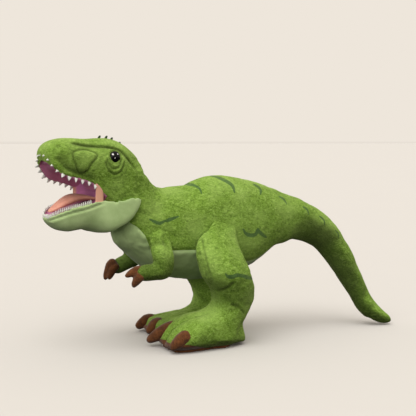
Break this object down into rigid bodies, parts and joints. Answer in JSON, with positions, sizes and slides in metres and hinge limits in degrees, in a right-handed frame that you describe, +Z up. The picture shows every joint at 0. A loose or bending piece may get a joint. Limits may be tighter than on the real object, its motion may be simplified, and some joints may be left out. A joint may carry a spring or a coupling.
{
  "type": "stuffed dinosaur",
  "caption": "Stuffed green tyrannosaur with a pale belly, an open felt-toothed mouth, safety eyes and felt claws; soft flexing neck, jaw, tail, arms and legs.",
  "frame": {"origin": "bottom centre of the bounding box, on the surface that the feet and the tail tip rest on", "axes": "+Z up, -X towards the head, +X towards the tail, -Y towards the animal's left"},
  "size_m": [0.4972, 0.183, 0.2635],
  "materials": {
    "plush_green": "short dense pile, mottled",
    "plush_pale": "very short smooth pile",
    "stuffing": "loose fibre",
    "mouth_fabric": "smooth knit",
    "tongue_fabric": "smooth knit",
    "white_felt": "felt",
    "brown_felt": "short pile",
    "dark_felt": "felt",
    "eye_plastic": "polished",
    "washer_plastic": "moulded"
  },
  "bodies": {
    "trunk": {"trunk_filling": "stuffing", "trunk_skin_left": "plush_green", "trunk_skin_right": "plush_green", "belly_panel": "plush_pale"},
    "neck": {"neck_filling": "stuffing"},
    "head": {"head_filling": "stuffing", "head_skin_left": "plush_green", "head_skin_right": "plush_green", "crown_gusset": "plush_green", "throat_panel": "plush_pale", "palate_lining": "mouth_fabric", "upper_teeth_felt": "white_felt", "eye_left": "eye_plastic", "eye_right": "eye_plastic", "eye_washer_left": "washer_plastic", "eye_washer_right": "washer_plastic", "crown_spikes": "dark_felt"},
    "jaw": {"jaw_filling": "stuffing", "jaw_skin": "plush_pale", "mouth_floor_lining": "mouth_fabric", "lower_teeth_felt": "white_felt", "tongue": "tongue_fabric"},
    "tail_base": {"tail_base_filling": "stuffing", "tail_base_skin": "plush_green"},
    "tail_tip": {"tail_tip_filling": "stuffing", "tail_tip_skin": "plush_green"},
    "arm_left": {"arm_left_filling": "stuffing", "arm_left_skin": "plush_green", "hand_left_claws": "brown_felt"},
    "arm_right": {"arm_right_filling": "stuffing", "arm_right_skin": "plush_green", "hand_right_claws": "brown_felt"},
    "leg_left": {"leg_left_filling": "stuffing", "leg_left_skin": "plush_green", "sole_left": "brown_felt", "foot_left_claws": "brown_felt"},
    "leg_right": {"leg_right_filling": "stuffing", "leg_right_skin": "plush_green", "sole_right": "brown_felt", "foot_right_claws": "brown_felt"}
  },
  "joints": [
    {"name": "neck_turn", "type": "hinge", "parent": "trunk", "child": "neck", "pos_m": [-0.1169, 0, 0.163], "axis": [0, 0, 1], "range_deg": [-22, 8], "stiffness_Nm_per_rad": 3},
    {"name": "head_nod", "type": "hinge", "parent": "neck", "child": "head", "pos_m": [-0.1169, 0, 0.163], "axis": [-0.1564, 0.9877, 0], "range_deg": [-9, 9], "stiffness_Nm_per_rad": 6},
    {"name": "jaw_close", "type": "hinge", "parent": "head", "child": "jaw", "pos_m": [-0.16826, -0.00813, 0.168], "axis": [-0.1564, 0.9877, 0], "range_deg": [-5, 11], "stiffness_Nm_per_rad": 1.5},
    {"name": "tail_base_sway", "type": "hinge", "parent": "trunk", "child": "tail_base", "pos_m": [0.0871, 0, 0.151], "axis": [0, 0, 1], "range_deg": [-14, 14], "stiffness_Nm_per_rad": 3},
    {"name": "tail_tip_sway", "type": "hinge", "parent": "tail_base", "child": "tail_tip", "pos_m": [0.1601, -0.0064, 0.124], "axis": [0, 0, 1], "range_deg": [-14, 14], "stiffness_Nm_per_rad": 1},
    {"name": "shoulder_left", "type": "hinge", "parent": "trunk", "child": "arm_left", "pos_m": [-0.1109, -0.044, 0.13], "axis": [0, 1, 0], "range_deg": [-25, 35], "stiffness_Nm_per_rad": 0.3},
    {"name": "shoulder_right", "type": "hinge", "parent": "trunk", "child": "arm_right", "pos_m": [-0.1109, 0.044, 0.13], "axis": [0, 1, 0], "range_deg": [-25, 35], "stiffness_Nm_per_rad": 0.3},
    {"name": "hip_left", "type": "hinge", "parent": "trunk", "child": "leg_left", "pos_m": [-0.0289, -0.044, 0.116], "axis": [0, 1, 0], "range_deg": [-10, 10], "stiffness_Nm_per_rad": 30},
    {"name": "hip_right", "type": "hinge", "parent": "trunk", "child": "leg_right", "pos_m": [-0.0249, 0.044, 0.116], "axis": [0, 1, 0], "range_deg": [-10, 10], "stiffness_Nm_per_rad": 30}
  ]
}
